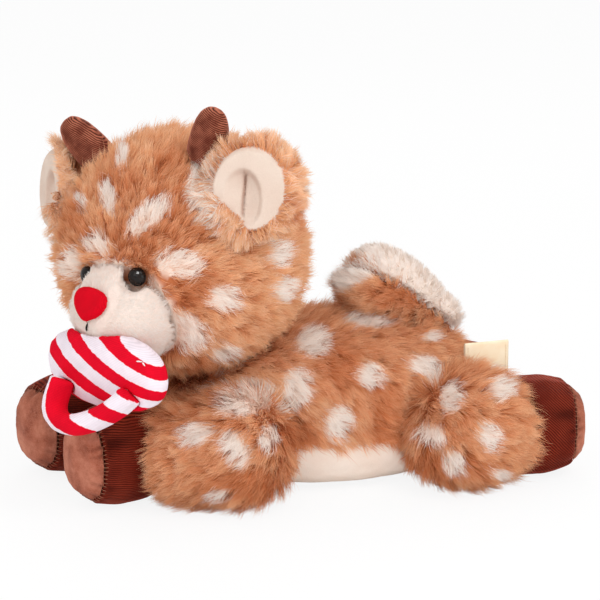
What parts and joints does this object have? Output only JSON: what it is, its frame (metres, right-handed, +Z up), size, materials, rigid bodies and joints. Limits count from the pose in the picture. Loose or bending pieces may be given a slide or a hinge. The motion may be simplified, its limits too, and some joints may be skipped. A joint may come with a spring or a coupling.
{
  "type": "plush deer",
  "caption": "Stuffed fawn lying on its belly with its head turned, soft horns, suede hooves, a curled tail and a striped cloth pacifier at its mouth.",
  "frame": {"origin": "on the surface that the toy lies on, under the middle of its bounding box", "axes": "+X towards the tail, so the toy's chest faces -X; +Y towards its right side; +Z up"},
  "size_m": [0.3108, 0.1768, 0.2181],
  "materials": {
    "fur": "matte",
    "cream_plush": "matte",
    "velvet": "satin",
    "suede": "matte",
    "red_knit": "matte",
    "striped_knit": "matte",
    "thread": "matte",
    "ribbon": "satin",
    "filling": "matte",
    "eye": "gloss",
    "washer": "matte",
    "magnet": "satin"
  },
  "bodies": {
    "torso": {"body_fur": "fur", "belly_panel": "cream_plush", "body_filling": "filling", "tag": "ribbon"},
    "head": {"head_fur": "fur", "head_filling": "filling", "muzzle": "cream_plush", "muzzle_magnet": "magnet", "nose": "red_knit", "mouth_stitch": "thread", "eye_left": "eye", "eye_right": "eye", "eye_washer_left": "washer", "eye_washer_right": "washer", "horn_left": "velvet", "horn_right": "velvet"},
    "ear_left": {"ear_left_lining": "cream_plush", "ear_left_back": "fur"},
    "ear_right": {"ear_right_lining": "cream_plush", "ear_right_back": "fur"},
    "tail": {"tail_lining": "cream_plush", "tail_fur": "fur"},
    "front_left_leg": {"front_left_leg_fur": "fur", "front_left_leg_filling": "filling", "front_left_hoof_side": "velvet", "front_left_hoof_sole": "suede"},
    "front_right_leg": {"front_right_leg_fur": "fur", "front_right_leg_filling": "filling", "front_right_hoof_side": "velvet", "front_right_hoof_sole": "suede"},
    "rear_left_leg": {"rear_left_leg_fur": "fur", "rear_left_leg_filling": "filling", "rear_left_hoof_side": "velvet", "rear_left_hoof_sole": "suede"},
    "rear_right_leg": {"rear_right_leg_fur": "fur", "rear_right_leg_filling": "filling", "rear_right_hoof_side": "velvet", "rear_right_hoof_sole": "suede"},
    "pacifier": {"pacifier_shield": "striped_knit", "pacifier_ring": "striped_knit", "pacifier_magnet": "magnet"}
  },
  "joints": [
    {"name": "head_turn", "type": "hinge", "parent": "torso", "child": "head", "pos_m": [-0.06956, -0.00392, 0.132], "axis": [-0.1244, 0.0479, 0.9911], "range_deg": [-24, 3], "stiffness_Nm_per_rad": 0.15},
    {"name": "ear_left_fold", "type": "hinge", "parent": "head", "child": "ear_left", "pos_m": [-0.05685, -0.05887, 0.1645], "axis": [0.5569, -0.386, -0.7354], "range_deg": [-2, 22], "stiffness_Nm_per_rad": 0.02},
    {"name": "ear_right_fold", "type": "hinge", "parent": "head", "child": "ear_right", "pos_m": [-0.12359, 0.0264, 0.152], "axis": [0.1271, -0.488, 0.8635], "range_deg": [-2, 22], "stiffness_Nm_per_rad": 0.02},
    {"name": "tail_lift", "type": "hinge", "parent": "torso", "child": "tail", "pos_m": [0.08044, 0.00108, 0.084], "axis": [0, 1, 0], "range_deg": [0, 55], "stiffness_Nm_per_rad": 0.05},
    {"name": "front_left_leg_swing", "type": "hinge", "parent": "torso", "child": "front_left_leg", "pos_m": [-0.04956, -0.04992, 0.0332], "axis": [0, 0, 1], "range_deg": [0, 14], "stiffness_Nm_per_rad": 0.1},
    {"name": "front_right_leg_swing", "type": "hinge", "parent": "torso", "child": "front_right_leg", "pos_m": [-0.06156, 0.05108, 0.0332], "axis": [0, 0, -1], "range_deg": [0, 14], "stiffness_Nm_per_rad": 0.1},
    {"name": "rear_left_leg_swing", "type": "hinge", "parent": "torso", "child": "rear_left_leg", "pos_m": [0.08144, -0.04992, 0.0337], "axis": [0, 0, -1], "range_deg": [0, 28], "stiffness_Nm_per_rad": 0.1},
    {"name": "rear_right_leg_swing", "type": "hinge", "parent": "torso", "child": "rear_right_leg", "pos_m": [0.06444, 0.05108, 0.0337], "axis": [0, 0, 1], "range_deg": [0, 28], "stiffness_Nm_per_rad": 0.1},
    {"name": "pacifier_pull", "type": "slide", "parent": "head", "child": "pacifier", "axis": [-0.7826, -0.6225, 0], "range_m": [0, 0.045]}
  ]
}
